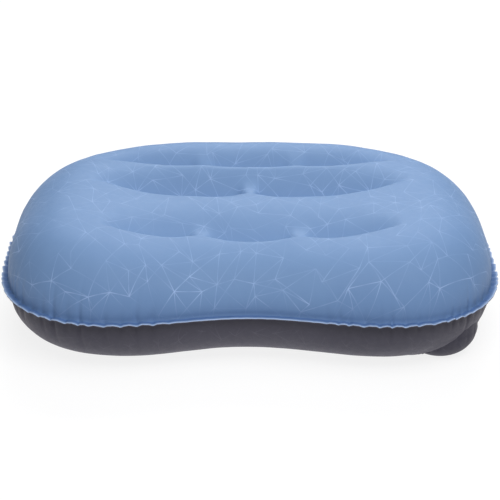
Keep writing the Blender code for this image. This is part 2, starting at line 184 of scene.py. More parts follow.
# Stage and camera, fitted to the photograph
FLOOR_HALF = 30
FLOOR_GAP = 0.0003
SOFTBOX_SIZE = (1.2, 0.8)
CAMERA_ANGLES = (-0.448, 26.58, 0.373)  # yaw, elevation and roll, in degrees
CAMERA_TARGET = (0.0003, -0.0078, 0.0517)
CAMERA_DISTANCE = 1.400
CAMERA_LENS = 112.58

rng = np.random.default_rng(11)


def smooth(low, high, value):
    t = np.clip((value - low) / (high - low), 0, 1)
    return t * t * (3 - 2 * t)


# ---- Plan of the weld line -----------------------------------------------------------------

def half_edge(x, depth, power):
    share = np.clip(1 - np.abs(x / HALF_WIDTH) ** power, 0, 1)
    return depth * share ** (1 / power), share


def front_edge(x):
    reach, share = half_edge(x, FRONT_DEPTH, FRONT_POWER)
    return PLAN_Y - reach + NECK_DEPTH * np.exp(-((x / NECK_WIDTH) ** 2)) * share


def back_edge(x):
    return PLAN_Y + half_edge(x, BACK_DEPTH, BACK_POWER)[0]


def weld_line():
    """Points evenly spaced along the weld line, anticlockwise from the left end along the front."""
    x = HALF_WIDTH * np.sin(np.linspace(-math.pi / 2, math.pi / 2, 4001))
    steps = [np.hypot(np.diff(x), np.diff(edge(x))) for edge in (front_edge, back_edge)]
    along = np.concatenate([[0], np.cumsum(sum(steps))])
    x = np.interp(np.linspace(0, along[-1], STATIONS // 2 + 1), along, x)
    front = np.stack([x, front_edge(x)], 1)
    back = np.stack([x, back_edge(x)], 1)[-2:0:-1]
    return np.concatenate([front, back])


def soften(values, times):
    """A closed run of values, averaged with its neighbours."""
    for _ in range(times):
        values = (np.roll(values, 1, 0) + 2 * values + np.roll(values, -1, 0)) / 4
    return values


EDGE = weld_line()
RUN = np.roll(EDGE, -1, 0) - np.roll(EDGE, 1, 0)
STEP = np.linalg.norm(RUN, axis=1)
OUTWARD = soften(np.stack([RUN[:, 1], -RUN[:, 0]], 1) / STEP[:, None], 8)
OUTWARD /= np.linalg.norm(OUTWARD, axis=1)[:, None]
SPINE = np.stack([SPINE_SHARE * np.clip(EDGE[:, 0], -SPINE_REACH, SPINE_REACH),
                  np.full(len(EDGE), SPINE_Y)], 1)
LENGTH = np.linalg.norm(EDGE - SPINE, axis=1)
INWARD = (SPINE - EDGE) / LENGTH[:, None]
HEADING = np.unwrap(np.arctan2(RUN[:, 1], RUN[:, 0]))
TURN = np.append(np.diff(HEADING), HEADING[0] + 2 * math.pi - HEADING[-1])
CURVATURE = soften(TURN / (STEP / 2), 60)
ALONG = np.concatenate([[0], np.cumsum(STEP[1:] / 2)])
GIRTH = ALONG[-1] + STEP[0] / 2


def puckers():
    """Wave round the weld line: its phase, and for each crease a depth and a reach inwards."""
    pitches = rng.uniform(*PUCKER_PITCH, PITCH_DRAWS)
    ends = np.concatenate([[0], np.cumsum(pitches)])
    count = int(np.argmin(np.abs(ends - GIRTH)))
    ends = ends[:count + 1] * GIRTH / ends[count]
    middles = (ends[1:] + ends[:-1]) / 2
    phase = 2 * math.pi * np.interp(ALONG, ends, np.arange(count + 1))
    depth = np.interp(ALONG, middles, rng.uniform(*CREASE_DEPTHS, count), period=GIRTH)
    reach = np.interp(ALONG, middles, rng.uniform(*CREASE_REACHES, count), period=GIRTH)
    return phase, depth, reach


PHASE, CREASE_DEPTH, CREASE_REACH = puckers()
SLOW_WAVE = 0.22 * np.sin(2.7 * PHASE + 2 * np.sin(0.31 * PHASE))
SCALLOPED = 1 - 2 * (0.5 - 0.5 * np.cos(PHASE)) ** 2 + SLOW_WAVE  # narrow dips, one at each crease
PUCKERED = 0.10 + 0.90 * smooth(-1.5, 3.5, CURVATURE)  # least where the front edge is concave
WELD_WAVE = PUCKERED * (0.45 + 0.55 * CREASE_DEPTH) * PUCKER_LIFT * SCALLOPED
SEAM_SHADE_REACH = 0.0085 + 0.0105 * PUCKERED  # how far from the seam the painted shade reaches, which makes the fabric's colour darker, further where the seam puckers


# ---- Heights of the fabric -----------------------------------------------------------------

def section(distance, radius):
    left = 1 - np.clip(distance / radius, 0, 1)
    return (1 - left**SECTION_POWER) ** (1 / SECTION_POWER)


def row_gaps(strips):
    """x of the middle of each gap between the welds of a row."""
    ordered = sorted(strips.values())
    return [(left[1] + right[0]) / 2 for left, right in zip(ordered, ordered[1:])]


def valley(x, y, depths, widths):
    """Depth of the valleys over the rows of welds: a steep front lip, and a long slope behind.

    Each row's valley is lens-shaped and fades at its outer ends. The fabric rises again, and its
    lip comes nearer the weld, at each gap between two welds.
    """
    sunk = np.zeros(np.broadcast(x, y).shape)
    for row, (row_y, strips) in BAFFLE_ROWS.items():
        reach = max(end for _, end in strips.values()) * ROW_REACH
        lens = np.sqrt(np.clip(1 - np.abs(x / reach) ** LENS_POWER, LENS_LEAST, 1))
        fade = np.clip(1 - np.abs(x / (reach * FADE_REACH)) ** FADE_POWERS[0], 0, 1) ** FADE_POWERS[1]
        front, back = widths[row]
        gap = sum(np.exp(-(((x - middle) / GAP_WIDTH) ** 4)) for middle in row_gaps(strips))
        pinch = sum(np.exp(-(((x - middle) / PINCH_WIDTH) ** 2)) for middle in row_gaps(strips))
        behind = y - row_y
        off = np.maximum(np.abs(behind) - WELD_BAND, 0)
        lip = np.clip(1 - off / (front * lens * (1 - PINCH[row] * pinch)), 0, 1) ** LIP_POWER
        slope = np.clip(1 - off / (back * np.sqrt(lens)), 0, 1) ** SLOPE_POWER
        bridge = 1 - BRIDGE[row] * gap * np.exp(-((behind / BRIDGE_DEPTH) ** 2))
        sunk = np.maximum(sunk, depths[row] * np.where(behind < 0, lip, slope) * fade * bridge)
    return sunk


def upper_z(x, y, distance):
    side = smooth(*SIDE_SPAN, np.abs(x))
    back = smooth(*BACK_SPAN, y) * (1 - side)
    rise = MIDDLE_RISE + (SIDE_RISE - MIDDLE_RISE) * side + (BACK_RISE - MIDDLE_RISE) * back
    height = rise + UPPER_PROUD - valley(x, y, UPPER_VALLEY, UPPER_WIDTHS)
    return SEAM_Z + SKIN + LAYER_GAP + height * section(distance, UPPER_ROUND)


def lower_z(x, y, distance, layer=SKIN + LAYER_GAP):
    share = section(distance, LOWER_ROUND)
    return (SEAM_Z - layer) * (1 - share) + valley(x, y, LOWER_VALLEY, LOWER_WIDTHS) * share


def release_frame():
    """The release valve's frame on the lower panel's wall, as in the part: +X up the slope, +Z out."""
    edge = np.array([RELEASE_X, float(back_edge(np.array(RELEASE_X)))])
    spine = np.array([SPINE_SHARE * RELEASE_X, SPINE_Y])
    inward = (spine - edge) / np.linalg.norm(spine - edge)

    def point(distance):
        px, py = edge + inward * distance
        return Vector((px, py, float(lower_z(np.array(px), np.array(py), np.array(distance), PART_LAYER))))

    slope = (point(RELEASE_INSET - SLOPE_REACH) - point(RELEASE_INSET + SLOPE_REACH)).normalized()
    tangent = Vector((inward[1], -inward[0], 0)).normalized()
    normal = slope.cross(tangent)
    if normal.z > 0:
        tangent, normal = -tangent, -normal
    turn = Matrix((slope, normal.cross(slope), normal)).transposed().to_4x4()
    turn.translation = point(RELEASE_INSET)
    return turn


RELEASE = release_frame()
TO_RELEASE = RELEASE.inverted()


# ---- Mesh helpers --------------------------------------------------------------------------

def mesh_object(name, points, faces):
    mesh = bpy.data.meshes.new(name)
    mesh.from_pydata([tuple(p) for p in points], [], faces)
    mesh.validate()
    mesh.shade_smooth()
    thing = bpy.data.objects.new(name, mesh)
    bpy.context.scene.collection.objects.link(thing)
    return thing


def loft(rings, flip=False):
    """Faces between rings of points, where a ring may have half the points of the one before."""
    faces, start = [], 0
    for outer, inner in zip(rings, rings[1:]):
        n, m = len(outer), len(inner)
        base = start + n
        for i in range(m):
            j = (i + 1) % m
            if n == m:
                faces.append((start + i, start + j, base + j, base + i))
            else:
                a, b, c = start + 2 * i, start + 2 * i + 1, start + (2 * i + 2) % n
                faces += [(a, b, base + i), (b, base + j, base + i), (b, c, base + j)]
        start = base
    return [f[::-1] for f in faces] if flip else faces


def weld_doubles(thing, distance=1e-5):
    bm = bmesh.new()
    bm.from_mesh(thing.data)
    bmesh.ops.remove_doubles(bm, verts=bm.verts, dist=distance)
    bmesh.ops.dissolve_degenerate(bm, dist=distance, edges=bm.edges)
    bm.to_mesh(thing.data)
    bm.free()
    thing.data.shade_smooth()


def face_outwards(thing):
    bm = bmesh.new()
    bm.from_mesh(thing.data)
    bmesh.ops.recalc_face_normals(bm, faces=bm.faces)
    bm.to_mesh(thing.data)
    bm.free()


def end_caps(rings):
    """The two faces that close a loft at its first and its last ring."""
    last = (len(rings) - 1) * len(rings[0])
    return [tuple(range(len(rings[0])))[::-1], tuple(range(last, last + len(rings[0])))]


def store(thing, name, values):
    attribute = thing.data.attributes.new(name, "FLOAT_VECTOR", "POINT")
    attribute.data.foreach_set("vector", np.ascontiguousarray(values, np.float32).ravel())


# ---- Panels --------------------------------------------------------------------------------

def grid_normals(grid):
    around = np.roll(grid, -1, 1) - np.roll(grid, 1, 1)
    across = np.gradient(grid, axis=0)
    normal = np.cross(around, across)
    return normal / np.maximum(np.linalg.norm(normal, axis=2, keepdims=True), 1e-12)


def ripples(grid, size, seed):
    """Slow random unevenness of inflated fabric, from -1 to 1."""
    flat = grid.reshape(-1, 3)
    values = [noise.noise(Vector(p) / size + Vector((seed, 0, 0))) for p in flat]
    return np.array(values).reshape(grid.shape[:2])


def panel_surface(height, side):
    """Grid of points from the weld line in to the spine, and their flat print coordinates."""
    shares = np.linspace(0, 1, RINGS + 1) ** CROWDING
    plan = EDGE[None] + (SPINE - EDGE)[None] * shares[:, None, None]
    distance = LENGTH[None] * shares[:, None]
    grid = np.dstack([plan, height(plan[..., 0], plan[..., 1], distance)])

    profile = np.linalg.norm(np.diff(grid, axis=0), axis=2)
    from_weld = np.concatenate([np.zeros((1, STATIONS)), np.cumsum(profile, 0)])
    normal = grid_normals(grid) * side
    normal[0] = np.column_stack([OUTWARD, np.zeros(STATIONS)])

    reach = PUCKER_REACH * CREASE_REACH[None]
    fade = np.exp(-((from_weld / reach) ** PUCKER_FADE))
    crease = (0.5 - 0.5 * np.cos(PHASE)) ** 2.5
    sink = PUCKERED * CREASE_DEPTH * crease * PUCKER_DEPTH
    grown = smooth(0, 0.0012, from_weld)
    uneven = sum(ripples(grid, size, side * seed) * rise for size, seed, rise in (UNEVEN_WIDE, UNEVEN_FINE))
    uneven *= smooth(0.002, 0.030, from_weld)
    grid = grid + normal * (uneven - sink[None] * fade * grown)[..., None]
    grid[..., 2] += (WELD_WAVE * WAVE_SHARE)[None] * np.exp(-from_weld / WAVE_REACH)
    grid[..., 2] = np.maximum(grid[..., 2], 0)
    return grid, flat_pattern(plan, distance, side)


def flat_pattern(plan, distance, side):
    """The panel laid flat: each ray from the spine at the length of the fabric along it, valleys left out."""
    rounding = UPPER_ROUND if side > 0 else LOWER_ROUND
    rise = section(distance, rounding) * (MIDDLE_RISE if side > 0 else SEAM_Z)
    along = np.linalg.norm(np.diff(np.dstack([plan, rise]), axis=0), axis=2)
    to_spine = np.concatenate([np.cumsum(along[::-1], 0)[::-1], np.zeros((1, STATIONS))])
    return SPINE[None] - INWARD[None] * to_spine[..., None]


def open_for_valve(panel):
    """The round hole for the release valve's collar, with the flange's weld pressed in round it."""
    press_depth, press_rise, press_fall = 0.0004, 0.001, 0.0015
    cut_margin, collar_gap = 0.0004, 0.0001
    bm = bmesh.new()
    bm.from_mesh(panel.data)
    normal = RELEASE.to_3x3() @ Vector((0, 0, 1))

    def radius_at(co):
        """Distance from the valve's axis, or infinity well above or below the flange."""
        local = TO_RELEASE @ co
        return math.hypot(local.x, local.y) if abs(local.z) < RELEASE_FLANGE / 2 else math.inf

    for vert in [v for v in bm.verts if (TO_RELEASE @ v.co).length < 2 * RELEASE_FLANGE]:
        radius = radius_at(vert.co)
        if radius < math.inf:
            ring = smooth(RELEASE_COLLAR, RELEASE_COLLAR + press_rise, radius)
            ring *= 1 - smooth(RELEASE_FLANGE - press_fall, RELEASE_FLANGE, radius)
            vert.co -= normal * float(ring) * press_depth
    gone = [f for f in bm.faces if all(radius_at(v.co) < RELEASE_COLLAR - cut_margin for v in f.verts)]
    bmesh.ops.delete(bm, geom=gone, context="FACES")
    for vert in bm.verts:
        radius = radius_at(vert.co)
        if vert.is_boundary and radius < RELEASE_FLANGE:
            local = TO_RELEASE @ vert.co
            share = (RELEASE_COLLAR - collar_gap) / radius
            vert.co = RELEASE @ Vector((local.x * share, local.y * share, local.z))
    bm.to_mesh(panel.data)
    bm.free()


def flange_rings(side):
    """Rings of one layer of the flange: its hidden face, round the cut edge, and its outer face."""
    out = FLANGE_WIDTH + SCALLOP * PUCKERED * CREASE_DEPTH * (SCALLOPED - 0.3)
    rings = []
    for share, outer, _ in FLANGE:
        plan = EDGE + OUTWARD * (out * share)[:, None]
        z = SEAM_Z + side * (LAYER_GAP + SKIN * outer) + WELD_WAVE * (WAVE_SHARE + (1 - WAVE_SHARE) * share)
        rings.append(np.column_stack([plan, z]))
    return rings


def build_panel(name, node, height, side):
    grid, flat = panel_surface(height, side)
    rings = flange_rings(side) + list(grid)
    flats = [flat[0] + OUTWARD * FLANGE_WIDTH * share for share, _, _ in FLANGE] + list(flat)
    steps = []
    for index in range(len(rings)):
        share = (index - len(FLANGE)) / RINGS
        steps.append(1 if share < HALVINGS[0] else 2 if share < HALVINGS[1] else 4)
    thinned = [ring[::step] for ring, step in zip(rings, steps)]
    thing = mesh_object(name, np.concatenate(thinned), loft(thinned, flip=side < 0))
    flat_points = np.concatenate([place[::step] for place, step in zip(flats, steps)])
    store(thing, "print_place", np.column_stack([flat_points, np.full(len(flat_points), side)]))
    pale = [pale for _, _, pale in FLANGE] + [0.0] * len(grid)
    rim = np.concatenate([np.full(len(ring), value) for ring, value in zip(thinned, pale)])
    # The second value of the rim attribute is painted shade near the seam: full on the flange's rings, fading
    # with distance from the seam on the panel, and left off the pale cut edge.
    from_weld = [-SEAM_SHADE_REACH * 0.45] * len(FLANGE)
    from_weld += list(np.linalg.norm(np.array(grid) - grid[0][None], axis=2))
    weld = np.concatenate([np.exp(-away / SEAM_SHADE_REACH)[::step] for away, step in zip(from_weld, steps)])
    store(thing, "rim", np.column_stack([rim, weld * (1 - rim), np.zeros(len(rim))]))
    weld_doubles(thing)
    if side < 0:
        open_for_valve(thing)
        open_for_pump(thing)
    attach(thing, "pillow")
    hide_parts(node)
    return thing


# ---- Baffles -------------------------------------------------------------------------------

def build_baffle(node, y, start, end, upper_tree, lower_tree):
    """Film strip with a weld tab along each panel, and a web that is drawn in between them."""
    stations = np.linspace(start, end, max(12, round((end - start) / BAFFLE_STEP)))
    across = [BAFFLE_TAB * share for share in (-1, -0.5, 0, 0.5, 1)]
    web_levels, web_slack, slack_waves = 9, 0.0012, 160

    def fabric(x, py, up):
        """Just inside the nearest fabric round a point."""
        tree = upper_tree if up > 0 else lower_tree
        heights = [tree.ray_cast(Vector((x + dx, py + dy, SEAM_Z)), Vector((0, 0, up)))[0].z
                   for dx in (-BAFFLE_STEP / 2, 0, BAFFLE_STEP / 2)
                   for dy in (-BAFFLE_TAB / 4, 0, BAFFLE_TAB / 4)]
        return min(h * up for h in heights) * up - up * BAFFLE_CLEAR

    rings = []
    for x in stations:
        top = [(x, y + dy, fabric(x, y + dy, 1)) for dy in across]
        low = [(x, y + dy, fabric(x, y + dy, -1)) for dy in across]
        under_top = [(px, py, z - FILM) for px, py, z in top]
        over_low = [(px, py, z + FILM) for px, py, z in low]
        heights = np.linspace(top[2][2] - 2 * FILM, low[2][2] + 2 * FILM, web_levels)
        slack = web_slack * math.sin(x * slack_waves) * np.sin(np.linspace(0, math.pi, web_levels))
        ring = top + [under_top[4], under_top[3]]
        ring += [(x, y + FILM / 2 + s, z) for z, s in zip(heights, slack)]
        ring += [over_low[3], over_low[4]] + low[::-1] + [over_low[0], over_low[1]]
        ring += [(x, y - FILM / 2 + s, z) for z, s in zip(heights[::-1], slack[::-1])]
        ring += [under_top[1], under_top[0]]
        rings.append(np.array(ring))
    faces = loft(rings) + end_caps(rings)
    thing = mesh_object(f"{node}_film", np.concatenate(rings), faces)
    face_outwards(thing)
    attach(thing, "pillow")
    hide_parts(node)
    return thing


# ---- Pump ----------------------------------------------------------------------------------

low_dome, high_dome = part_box("pump_dome")
PUMP = Vector(((low_dome.x + high_dome.x) / 2, (low_dome.y + high_dome.y) / 2, 0))


def open_for_pump(panel):
    """The hole in the lower panel over the pump, with its edge behind the dome's wall."""
    cut_margin, snap_margin = 0.0004, 0.002
    bm = bmesh.new()
    bm.from_mesh(panel.data)

    def away(co):
        """Plan distance from the pump's axis, or infinity on the upper half of the wall."""
        return math.hypot(co.x - PUMP.x, co.y - PUMP.y) if co.z < SEAM_Z / 2 else math.inf

    for vert in bm.verts:
        covers = 1 - smooth(*(CUP_RADIUS + past for past in CUP_COVER_SPAN), away(vert.co))
        vert.co.z = max(0, vert.co.z - CUP_COVER * float(covers))
    gone = [f for f in bm.faces if all(away(v.co) < PUMP_HOLE - cut_margin for v in f.verts)]
    bmesh.ops.delete(bm, geom=gone, context="FACES")
    for vert in bm.verts:
        radius = away(vert.co)
        if vert.is_boundary and radius < PUMP_HOLE + snap_margin:
            share = PUMP_HOLE / radius
            vert.co.x = PUMP.x + (vert.co.x - PUMP.x) * share
            vert.co.y = PUMP.y + (vert.co.y - PUMP.y) * share
    bm.to_mesh(panel.data)
    bm.free()


def pump_ring(radius, angles, z):
    """Points round the pump's axis, where the radius and the height may change with the angle."""
    return np.column_stack([PUMP.x + radius * np.cos(angles), PUMP.y + radius * np.sin(angles),
                            np.broadcast_to(z, len(angles))])


def blend_with_press(thing):
    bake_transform(thing)


def dome_height(radius):
    share = (1 - min(radius / DOME_RADIUS, 1) ** DOME_POWER) ** (1 / DOME_POWER)
    above = DOME_CENTRE_Z - DOME_DEPTH * share - DOME_FLAT_Z
    return DOME_FLAT_Z + DOME_SOFTNESS * math.log1p(math.exp(above / DOME_SOFTNESS))


def natural_lower(x, y):
    """Height of the lower panel over a plan point, read off the nearest line from weld to spine."""
    samples, probe, reach = 200, 0.15, 60
    shares = np.linspace(0, 1, samples)
    gap = np.linalg.norm(EDGE + (SPINE - EDGE) * probe - np.array([x, y]), axis=1)
    nearest = int(np.argmin(gap))
    best = None
    for i in range(nearest - reach, nearest + reach + 1):
        i %= STATIONS
        line = EDGE[i] + (SPINE - EDGE)[i] * shares[:, None]
        away = np.hypot(line[:, 0] - x, line[:, 1] - y)
        k = int(np.argmin(away))
        if best is None or away[k] < best[0]:
            best = (away[k], LENGTH[i] * shares[k])
    return float(lower_z(np.array(x), np.array(y), np.array(best[1])))


def build_dome():
    """Fabric dome: a soft round pouch whose wall goes on past the lower panel all round."""
    steps, bowl_rings, skirt_shares = 128, 44, np.linspace(0.12, 1, 9)
    rim_z, rim_radius = DOME_CENTRE_Z - 0.0006, DOME_RADIUS - 0.0002
    angles = np.linspace(0, 2 * math.pi, steps, endpoint=False)
    skirt = DOME_RADIUS - 0.0004
    tops = [natural_lower(PUMP.x + skirt * math.cos(a), PUMP.y + skirt * math.sin(a)) for a in angles]
    tops = soften(np.maximum(np.array(tops) + DOME_SKIRT_PAST, DOME_SKIRT_LEAST), 3)
    fold = (0.35 * np.sin(angles * 23 + 1.3 * np.sin(angles * 3))
            + 0.25 * np.sin(angles * 37 + 2.1 * np.sin(angles * 2 + 1))) * DOME_FOLD
    rings = []
    for turn in np.linspace(0, math.pi / 2, bowl_rings)[:-1]:
        radius = VALVE_OPENING + (DOME_RADIUS - VALVE_OPENING) * math.sin(turn)
        z = dome_height(radius)
        rings.append(pump_ring(radius + fold * smooth(0.006, 0.022, z), angles, z))
    for share in skirt_shares:
        z = rim_z + (np.maximum(tops, DOME_CENTRE_Z) - rim_z) * share
        rings.append(pump_ring(rim_radius + fold * (1 - 0.6 * share), angles, z))
    points = np.concatenate(rings)
    thing = mesh_object("pump_dome_fabric", points, loft(rings, flip=True))
    flat = np.column_stack([points[:, 0], points[:, 1] + points[:, 2], np.full(len(points), -1.0)])
    store(thing, "print_place", flat)
    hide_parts("pump_dome")
    blend_with_press(thing)
    return thing


def build_foam():
    """Ring of open-cell foam with soft edges, under the cup and inside the dome."""
    steps, inset, under_steps, top_steps = 96, 0.0019, 14, 6
    roughness, pores = 0.0002, 900
    low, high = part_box("pump_foam")
    outer = (high.x - low.x) / 2
    angles = np.linspace(0, 2 * math.pi, steps, endpoint=False)
    bottom = [(r, dome_height(r + inset) + FOAM_UNDER)
              for r in np.linspace(FOAM_HOLE, outer - 0.0006, under_steps)]
    profile = [(FOAM_HOLE, FOAM_TOP - FOAM_EDGE), (FOAM_HOLE + FOAM_EDGE, FOAM_TOP)]
    profile += [(r, FOAM_TOP) for r in np.linspace(FOAM_HOLE + 0.003, outer - 0.003, top_steps)]
    profile += [(outer - FOAM_EDGE, FOAM_TOP), (outer, FOAM_TOP - FOAM_EDGE)]
    profile += bottom[::-1]
    rings = []
    for r, z in profile:
        rough = [noise.noise(Vector((math.cos(a) * r, math.sin(a) * r, z)) * pores) for a in angles]
        rings.append(pump_ring(r + np.array(rough) * roughness, angles, z))
    rings.append(rings[0])
    thing = mesh_object("pump_foam_ring", np.concatenate(rings), loft(rings))
    weld_doubles(thing)
    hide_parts("pump_foam")
    blend_with_press(thing)
    return thing


# ---- Release strap -------------------------------------------------------------------------

def build_strap():
    """Moulded living hinge: a rounded band from the collar out to a loop and back to the cap."""
    middle_x, loop = CAP_HINGE - STRAP_INSET, (STRAP_HIGH - STRAP_LOW) / 2
    path = [(x, STRAP_LOW) for x in np.linspace(RELEASE_COLLAR - 0.0002, middle_x - 0.0005, 5)]
    path += [(middle_x + loop * math.cos(a), STRAP_LOW + loop + loop * math.sin(a))
             for a in np.linspace(-math.pi / 2, math.pi / 2, 17)]
    path += [(x, STRAP_HIGH) for x in np.linspace(middle_x - 0.0003, CAP_RADIUS - 0.0002, 3)]
    points = np.array(path)
    run = np.gradient(points, axis=0)
    run /= np.linalg.norm(run, axis=1)[:, None]
    thick, wide = STRAP_HALF_THICK, STRAP_WIDTH / 2
    around = [tuple(math.copysign(abs(part) ** STRAP_SQUARENESS, part) for part in (math.cos(a), math.sin(a)))
              for a in np.linspace(0, 2 * math.pi, 24, endpoint=False)]
    rings = []
    for (x, z), (tx, tz) in zip(points, run):
        ring = [RELEASE @ Vector((x - tz * v * thick, u * wide, z + tx * v * thick)) for u, v in around]
        rings.append(np.array(ring))
    thing = mesh_object("release_strap_moulded", np.concatenate(rings), loft(rings) + end_caps(rings))
    face_outwards(thing)
    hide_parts("release_strap")
    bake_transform(thing)
    return thing


# ---- Shader helpers ------------------------------------------------------------------------

class Nodes:
    """The nodes of a material or of a node group, added and linked one at a time."""

    def __init__(self, tree):
        self.tree = tree

    def node(self, kind, **settings):
        node = self.tree.nodes.new(kind)
        for name, value in settings.items():
            setattr(node, name, value)
        return node

    def feed(self, node, *values):
        for socket, value in zip([s for s in node.inputs if s.enabled], values):
            if value is None:
                continue
            if isinstance(value, bpy.types.NodeSocket):
                self.tree.links.new(value, socket)
            else:
                socket.default_value = value
        return node

    def math(self, operation, *values, clamp=False):
        node = self.node("ShaderNodeMath", operation=operation, use_clamp=clamp)
        return self.feed(node, *values).outputs[0]

    def vector(self, operation, *values):
        node = self.feed(self.node("ShaderNodeVectorMath", operation=operation), *values)
        scalar = operation in ("LENGTH", "DISTANCE", "DOT_PRODUCT")
        return node.outputs["Value" if scalar else "Vector"]

    def white_noise(self, vector):
        node = self.node("ShaderNodeTexWhiteNoise", noise_dimensions="3D")
        self.tree.links.new(vector, node.inputs["Vector"])
        return node


class Shader(Nodes):
    """A material, with its Principled surface."""

    def __init__(self, name):
        self.material = bpy.data.materials.new(name)
        self.material.use_nodes = True
        super().__init__(self.material.node_tree)
        self.surface = self.tree.nodes["Principled BSDF"]

    def set(self, **sockets):
        for name, value in sockets.items():
            self.surface.inputs[name.replace("_", " ")].default_value = value
        return self

    def attribute(self, name):
        return self.node("ShaderNodeAttribute", attribute_name=name).outputs["Vector"]

    def place(self):
        return self.node("ShaderNodeTexCoord").outputs["Object"]

    def noise(self, vector, scale, detail=2.0, roughness=0.5):
        node = self.node("ShaderNodeTexNoise")
        self.tree.links.new(vector, node.inputs["Vector"])
        node.inputs["Scale"].default_value = scale
        node.inputs["Detail"].default_value = detail
        node.inputs["Roughness"].default_value = roughness
        return node.outputs["Fac"]

    def mix(self, share, first, second):
        node = self.node("ShaderNodeMix", data_type="RGBA")
        for socket, value in ((node.inputs[0], share), (node.inputs[6], first), (node.inputs[7], second)):
            if isinstance(value, bpy.types.NodeSocket):
                self.tree.links.new(value, socket)
            else:
                socket.default_value = value
        return node.outputs[2]

    def ramp(self, value, low, high, out_low=0.0, out_high=1.0):
        node = self.node("ShaderNodeMapRange", interpolation_type="SMOOTHSTEP")
        return self.feed(node, value, low, high, out_low, out_high).outputs[0]

    def link(self, output, name):
        self.tree.links.new(output, self.surface.inputs[name])

    def bump(self, height, distance, strength=1.0):
        node = self.node("ShaderNodeBump")
        node.inputs["Distance"].default_value = distance
        node.inputs["Strength"].default_value = strength
        self.tree.links.new(height, node.inputs["Height"])
        self.link(node.outputs["Normal"], "Normal")


def linear(red, green, blue):
    """A display colour, 0 to 255, as linear light."""
    def one(value):
        value /= 255
        return value / 12.92 if value <= 0.04045 else ((value + 0.055) / 1.055) ** 2.4
    return (one(red), one(green), one(blue), 1)


def node_group(name, inputs, output):
    """A node group with these sockets, as (name, kind) pairs: its nodes, its input and its output node."""
    nodes = Nodes(bpy.data.node_groups.new(name, "ShaderNodeTree"))
    for socket, kind in inputs:
        nodes.tree.interface.new_socket(socket, in_out="INPUT", socket_type=f"NodeSocket{kind}")
    nodes.tree.interface.new_socket(output[0], in_out="OUTPUT", socket_type=f"NodeSocket{output[1]}")
    return nodes, nodes.node("NodeGroupInput").outputs, nodes.node("NodeGroupOutput")


def network_point_group():
    """Node group: the jittered corner of the print's network for a cell offset."""
    jitter, margin = (0.86, 0.86, 0), (0.07, 0.07, 0)
    nodes, given, result = node_group(
        "print_corner", [("Cell", "Vector"), ("Offset", "Vector")], ("Point", "Vector"))
    cell = nodes.vector("ADD", given["Cell"], given["Offset"])
    shift = nodes.vector("MULTIPLY_ADD", nodes.white_noise(cell).outputs["Color"], jitter, margin)
    nodes.tree.links.new(nodes.vector("ADD", cell, shift), result.inputs["Point"])
    return nodes.tree


def network_line_group():
    """Node group: strength of one printed line between two corners, at a place."""
    nodes, given, result = node_group(
        "print_line", [("Place", "Vector"), ("Start", "Vector"), ("End", "Vector"), ("So far", "Float")],
        ("Strength", "Float"))
    run = nodes.vector("SUBTRACT", given["End"], given["Start"])
    reach = nodes.vector("SUBTRACT", given["Place"], given["Start"])
    dot, square = nodes.vector("DOT_PRODUCT", reach, run), nodes.vector("DOT_PRODUCT", run, run)
    share = nodes.math("DIVIDE", dot, square, clamp=True)
    scaled = nodes.node("ShaderNodeVectorMath", operation="SCALE")
    nodes.tree.links.new(run, scaled.inputs[0])
    nodes.tree.links.new(share, scaled.inputs["Scale"])
    distance = nodes.vector("LENGTH", nodes.vector("SUBTRACT", reach, scaled.outputs["Vector"]))
    middle = nodes.vector("ADD", given["Start"], given["End"])
    # about one line in six is left out, and the rest differ in strength
    kept = nodes.math("MULTIPLY_ADD", nodes.white_noise(middle).outputs["Value"], 1.7, -0.30, clamp=True)
    widths_away = nodes.math("DIVIDE", distance, LINE_HALF_WIDTH / PRINT_PITCH)
    core = nodes.math("SUBTRACT", 1.45, widths_away, clamp=True)
    from_middle = nodes.math("ABSOLUTE", nodes.math("SUBTRACT", share, 0.5))
    star = nodes.math("MULTIPLY_ADD", from_middle, 1.4, 0.30)  # brightest at the corners
    drawn = nodes.math("MULTIPLY", nodes.math("MULTIPLY", core, kept), star)
    nodes.tree.links.new(nodes.math("MAXIMUM", drawn, given["So far"]), result.inputs["Strength"])
    return nodes.tree


def print_lines(shader, corner, line):
    """Faint printed triangles: lines between the jittered corners of a square network."""
    scaled = shader.vector("SCALE", shader.attribute("print_place"))
    scaled.node.inputs["Scale"].default_value = 1 / PRINT_PITCH
    flat = shader.vector("MULTIPLY", scaled, (1, 1, 0))
    cell = shader.vector("FLOOR", flat)
    corners = {}
    for i in (-1, 0, 1):
        for j in (-1, 0, 1):
            group = shader.node("ShaderNodeGroup", node_tree=corner)
            shader.tree.links.new(cell, group.inputs["Cell"])
            group.inputs["Offset"].default_value = (i, j, 0)
            corners[i, j] = group.outputs["Point"]
    pairs = [((i, j), (i + 1, j)) for i in (-1, 0) for j in (-1, 0, 1)]
    pairs += [((i, j), (i, j + 1)) for i in (-1, 0, 1) for j in (-1, 0)]
    pairs += [((i, j), (i + 1, j + 1)) for i in (-1, 0) for j in (-1, 0)]
    pairs += [((i, j + 1), (i + 1, j)) for i in (-1, 0) for j in (-1, 0)]
    strength = None
    for start, end in pairs:
        group = shader.node("ShaderNodeGroup", node_tree=line)
        shader.tree.links.new(flat, group.inputs["Place"])
        shader.tree.links.new(corners[start], group.inputs["Start"])
        shader.tree.links.new(corners[end], group.inputs["End"])
        if strength is not None:
            shader.tree.links.new(strength, group.inputs["So far"])
        strength = group.outputs["Strength"]
    return strength


def weave(shader, scale):
    """Height of a fine plain weave in the fabric's own flat coordinates."""
    flat = shader.attribute("print_place")
    threads = []
    for axis in ("X", "Y"):
        wave = shader.node("ShaderNodeTexWave", wave_type="BANDS", bands_direction=axis)
        shader.tree.links.new(flat, wave.inputs["Vector"])
        wave.inputs["Scale"].default_value = scale
        wave.inputs["Distortion"].default_value = 0.6
        wave.inputs["Detail"].default_value = 1.0
        threads.append(wave.outputs["Fac"])
    return shader.math("ADD", *threads)


